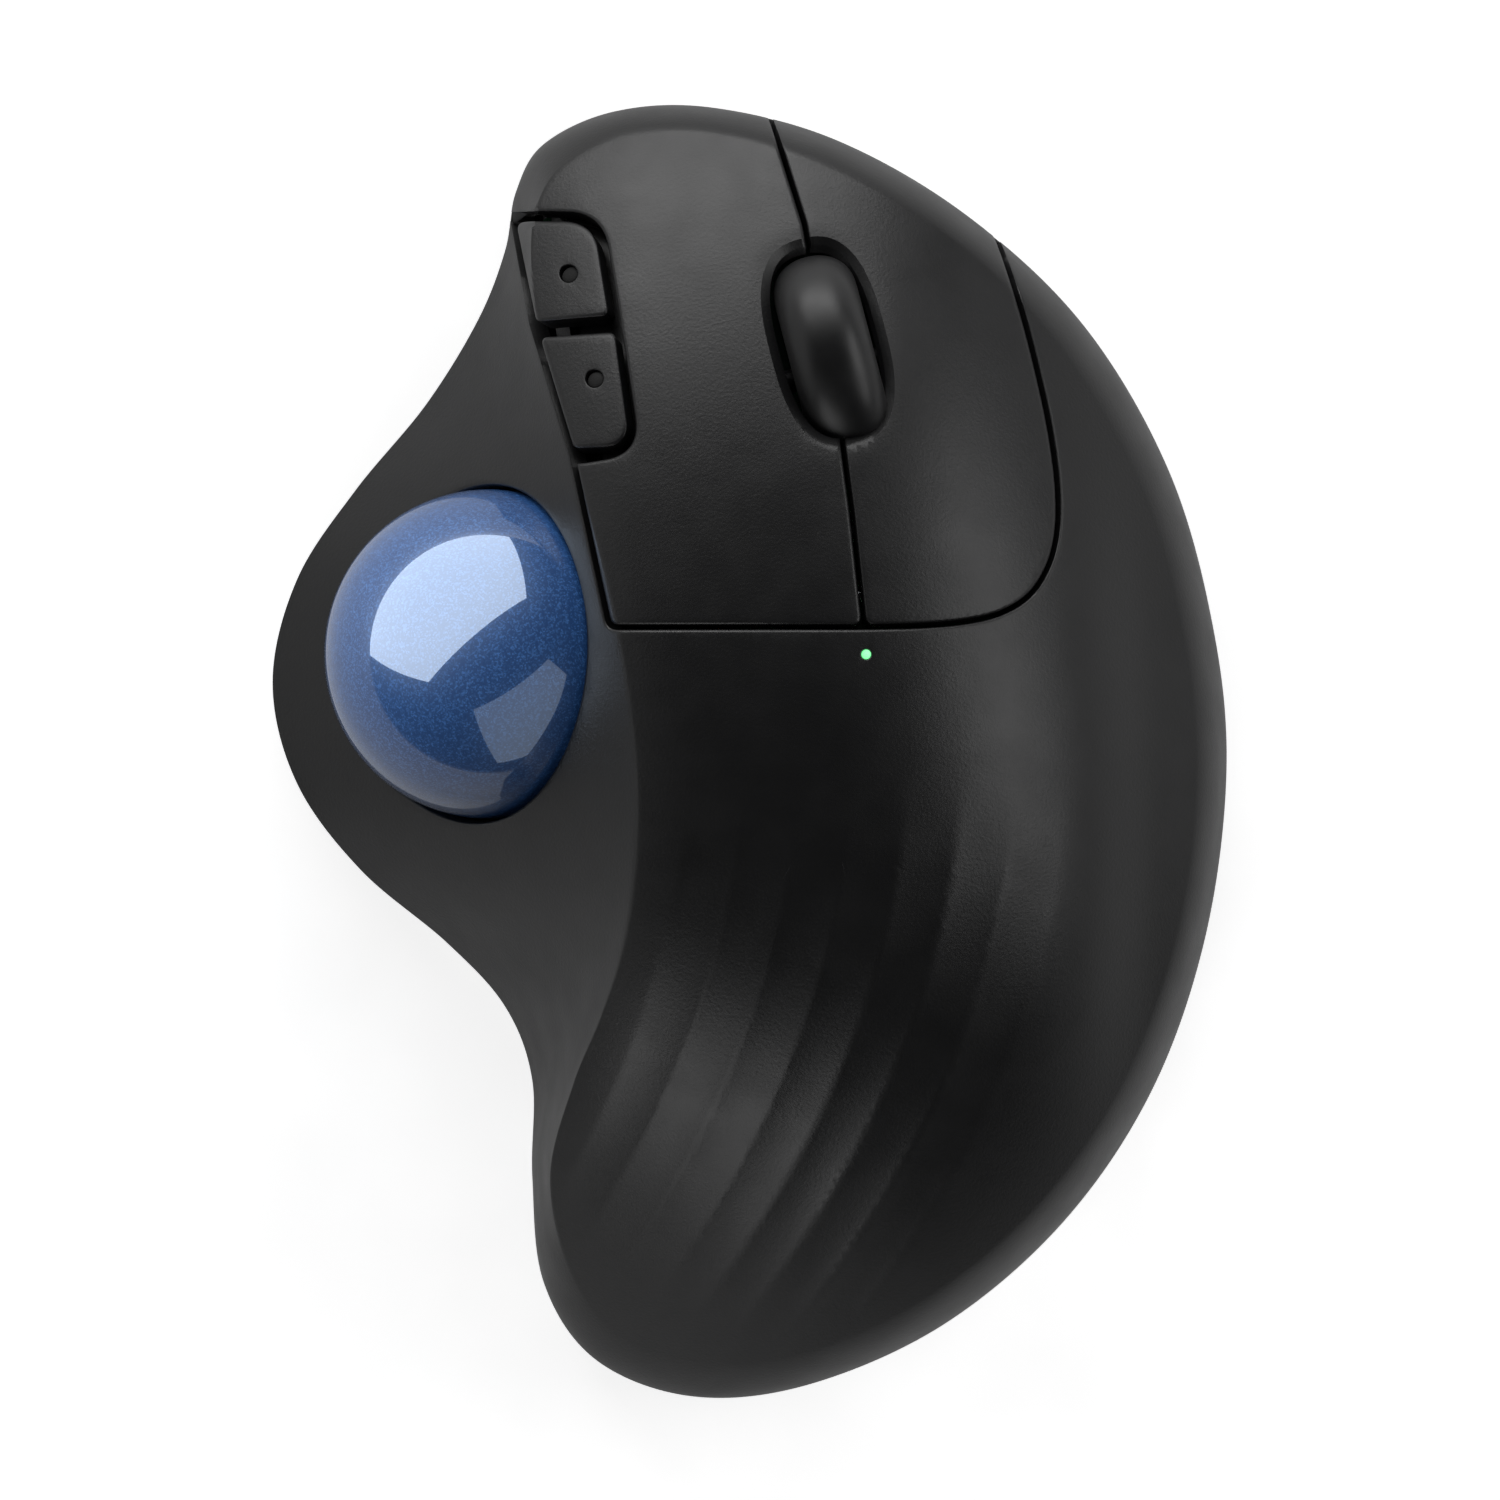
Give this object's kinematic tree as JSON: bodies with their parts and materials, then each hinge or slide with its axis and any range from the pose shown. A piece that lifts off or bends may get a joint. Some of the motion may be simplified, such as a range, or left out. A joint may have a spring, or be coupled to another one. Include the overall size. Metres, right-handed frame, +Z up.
{
  "type": "trackball mouse",
  "caption": "Wireless right-hand trackball mouse rolled with the thumb, with click keys, side keys, a pressing scroll wheel and a battery door underneath.",
  "frame": {"origin": "centre of the footprint, on the desk under the rubber feet", "axes": "+Z up, +Y towards the fingers (front of the keys), +X to the right, thumb ball on -X"},
  "size_m": [0.0989, 0.1341, 0.048],
  "materials": {
    "shell_black": "fine spark-eroded grain",
    "base_black": "fine grain",
    "tyre_rubber": "smooth satin",
    "hub_grey": "moulded",
    "carrier_acetal": "moulded",
    "pin_steel": "ground",
    "ball_blue": "polished resin with pearl flakes",
    "ball_inner": "cast resin",
    "bearing_ceramic": "polished ceramic",
    "pcb_green": "solder mask",
    "chip_black": "moulded epoxy",
    "flex_amber": "polyimide film",
    "led_green": "clear epoxy, lit",
    "guide_clear": "polished acrylic",
    "switch_grey": "moulded",
    "plunger_ivory": "moulded",
    "encoder_blue": "moulded",
    "cell_wrap": "shrink sleeve",
    "contact_nickel": "nickel plated",
    "wire_red": "PVC sleeve",
    "slider_white": "moulded",
    "foot_rubber": "moulded",
    "label_grey": "printed film"
  },
  "bodies": {
    "housing": {"top_shell": "shell_black", "carrier_pin": "pin_steel", "wheel_stand": "hub_grey", "ball_cup": "hub_grey", "bearings": "bearing_ceramic", "ball_sensor": "chip_black", "sensor_board": "pcb_green", "sensor_flex": "flex_amber", "main_board": "pcb_green", "radio_chip": "chip_black", "small_chips": "chip_black", "led_emitter": "led_green", "light_guide": "guide_clear", "click_switches": "switch_grey", "switch_plungers": "plunger_ivory", "side_switches": "switch_grey", "hinge_pin": "pin_steel", "standoffs": "hub_grey", "base_shell": "base_black", "battery_cell": "cell_wrap", "contact_plus": "contact_nickel", "contact_spring": "contact_nickel", "battery_wires": "wire_red", "receiver_shell": "base_black", "receiver_plug": "contact_nickel", "power_switch": "contact_nickel", "pairing_switch": "switch_grey", "rubber_feet": "foot_rubber", "base_screws": "pin_steel", "rating_label": "label_grey"},
    "left_key": {"left_button": "shell_black"},
    "right_key": {"right_button": "shell_black"},
    "forward_key": {"forward_button": "shell_black"},
    "back_key": {"back_button": "shell_black"},
    "wheel_yoke": {"wheel_carrier": "carrier_acetal", "encoder": "encoder_blue"},
    "scroll_wheel": {"wheel_tyre": "tyre_rubber", "wheel_hub": "hub_grey"},
    "ball_inside": {"ball_core": "ball_inner"},
    "ball": {"trackball": "ball_blue"},
    "power_knob": {"power_slider": "slider_white"},
    "pairing_knob": {"pairing_button": "slider_white"},
    "door": {"battery_door": "base_black"}
  },
  "joints": [
    {"name": "left_click", "type": "hinge", "parent": "housing", "child": "left_key", "pos_m": [0, 0.016, 0.0338], "axis": [1, 0, 0], "range_deg": [-0.7, 0], "stiffness_Nm_per_rad": 2.4},
    {"name": "right_click", "type": "hinge", "parent": "housing", "child": "right_key", "pos_m": [0.02, 0.016, 0.0338], "axis": [1, 0, 0], "range_deg": [-0.7, 0], "stiffness_Nm_per_rad": 2.4},
    {"name": "forward_press", "type": "slide", "parent": "housing", "child": "forward_key", "axis": [0.342, 0, -0.9397], "range_m": [0, 0.0005], "stiffness_N_per_m": 1200},
    {"name": "back_press", "type": "slide", "parent": "housing", "child": "back_key", "axis": [0.342, 0, -0.9397], "range_m": [0, 0.0005], "stiffness_N_per_m": 1200},
    {"name": "wheel_press", "type": "hinge", "parent": "housing", "child": "wheel_yoke", "pos_m": [0.01287, 0.02337, 0.0299], "axis": [0.9681, 0.2504, 0], "range_deg": [-1.7, 0], "stiffness_Nm_per_rad": 1.2},
    {"name": "wheel_spin", "type": "hinge", "parent": "wheel_yoke", "child": "scroll_wheel", "pos_m": [0.00874, 0.03934, 0.0294], "axis": [0.9681, 0.2504, 0], "continuous": true},
    {"name": "ball_roll_across", "type": "hinge", "parent": "housing", "child": "ball_inside", "pos_m": [-0.0269, 0.0101, 0.0245], "axis": [1, 0, 0], "continuous": true},
    {"name": "ball_roll_along", "type": "hinge", "parent": "ball_inside", "child": "ball", "pos_m": [-0.0269, 0.0101, 0.0245], "axis": [0, 1, 0], "continuous": true},
    {"name": "power_slide", "type": "slide", "parent": "housing", "child": "power_knob", "axis": [1, 0, 0], "range_m": [0, 0.003]},
    {"name": "pairing_press", "type": "slide", "parent": "housing", "child": "pairing_knob", "axis": [0, 0, 1], "range_m": [0, 0.00025], "stiffness_N_per_m": 1500},
    {"name": "door_lift_off", "type": "slide", "parent": "housing", "child": "door", "axis": [0, 0, -1], "range_m": [0, 0.012]}
  ]
}
